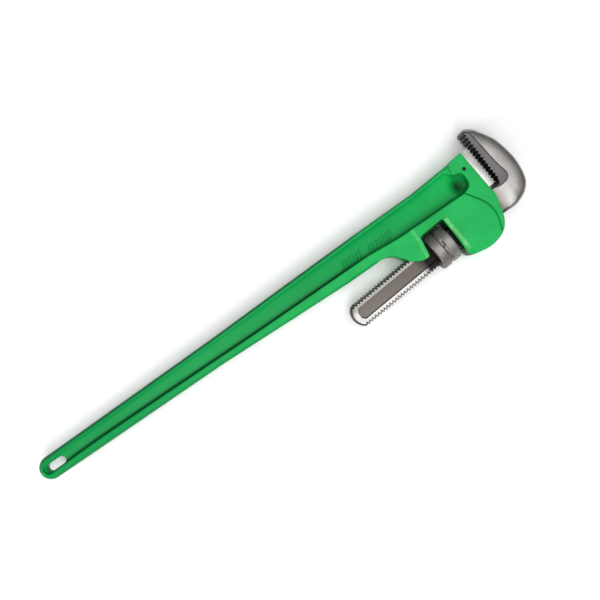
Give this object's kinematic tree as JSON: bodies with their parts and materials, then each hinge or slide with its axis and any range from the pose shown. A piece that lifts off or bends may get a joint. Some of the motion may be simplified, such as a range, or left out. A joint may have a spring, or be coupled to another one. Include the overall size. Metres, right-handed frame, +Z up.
{
  "type": "pipe wrench",
  "caption": "Straight heavy-duty pipe wrench: painted I-beam handle with a housing, toothed hook jaw on a threaded shank, adjusting nut, heel jaw and springs.",
  "frame": {"origin": "under the middle of the whole wrench's bounding box at rest, on the surface that it lies on", "axes": "+X along the handle from its hanging end to the head, +Y to the side that the jaws open to, +Z up out of the wrench's flat side"},
  "size_m": [0.7754, 0.1508, 0.052],
  "materials": {
    "green_enamel": "glossy enamel over a casting",
    "forged_steel": "satin, ground faces",
    "ground_steel": "satin, ground",
    "dark_pin_steel": "black oxide",
    "dark_nut_steel": "dark oxide, worn edges",
    "spring_steel": "oil-tempered",
    "coil_steel": "oil-tempered",
    "rivet_steel": "plain, dull"
  },
  "bodies": {
    "handle": {"handle": "green_enamel", "heel_jaw": "ground_steel", "heel_jaw_pin": "dark_pin_steel"},
    "spring_carrier": {"flat_spring": "spring_steel", "coil_spring": "coil_steel", "spring_rivet": "rivet_steel"},
    "hook_jaw": {"hook_jaw": "forged_steel"},
    "adjusting_nut": {"adjusting_nut": "dark_nut_steel"}
  },
  "joints": [
    {"name": "jaw_rock", "type": "hinge", "parent": "handle", "child": "spring_carrier", "pos_m": [0.23748, -0.03951, 0.026], "axis": [0, 0, 1], "range_deg": [0, 2], "stiffness_Nm_per_rad": 30, "springref_deg": -2.29},
    {"name": "hook_jaw_slide", "type": "slide", "parent": "spring_carrier", "child": "hook_jaw", "axis": [0.9966, 0.0819, 0], "range_m": [-0.002, 0.13]},
    {"name": "nut_spin", "type": "hinge", "parent": "spring_carrier", "child": "adjusting_nut", "pos_m": [0.23748, -0.03951, 0.026], "axis": [0.9966, 0.0819, 0], "continuous": true}
  ],
  "couplings": [
    {"joint": "nut_spin", "follows": "hook_jaw_slide", "rad_per_m": -1236.8}
  ]
}
